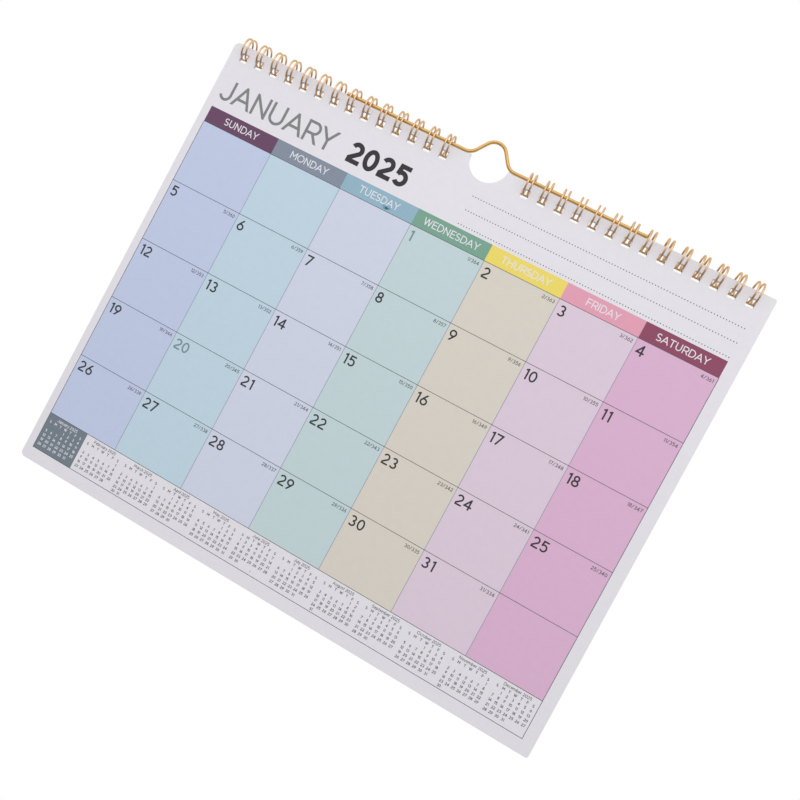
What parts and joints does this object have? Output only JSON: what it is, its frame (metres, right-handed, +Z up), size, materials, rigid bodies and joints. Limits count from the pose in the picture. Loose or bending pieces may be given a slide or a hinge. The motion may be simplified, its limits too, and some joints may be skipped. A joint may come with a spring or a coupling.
{
  "type": "wall calendar",
  "caption": "Landscape wall calendar page block on gold twin-loop wire binding, with a wire hanger bent into a hump over a thumb cut.",
  "frame": {"origin": "the point where a nail or hook carries the calendar, inside the top of the hanger's hump, in the plane of the hanger wire", "axes": "+Z up as it hangs, +X along the binding to the right of someone who reads the page, +Y towards the wall"},
  "size_m": [0.2794, 0.0114, 0.2399],
  "materials": {
    "paper": "uncoated, printed",
    "gold_wire": "bright gold-tone plate on steel wire",
    "gold_hanger_wire": "gold-tone plate on drawn steel wire"
  },
  "bodies": {
    "hanger": {"hanger": "gold_hanger_wire"},
    "binding": {"wire_binding_left": "gold_wire", "wire_binding_right": "gold_wire"},
    "page_block": {"pages": "paper"}
  },
  "joints": [
    {"name": "hanger_swing", "type": "hinge", "parent": "hanger", "child": "binding", "pos_m": [0, 0, -0.00855], "axis": [1, 0, 0], "range_deg": [-115, 65]},
    {"name": "page_turn", "type": "hinge", "parent": "binding", "child": "page_block", "pos_m": [0, 0.00345, -0.0094], "axis": [1, 0, 0], "range_deg": [-65, 2]}
  ]
}
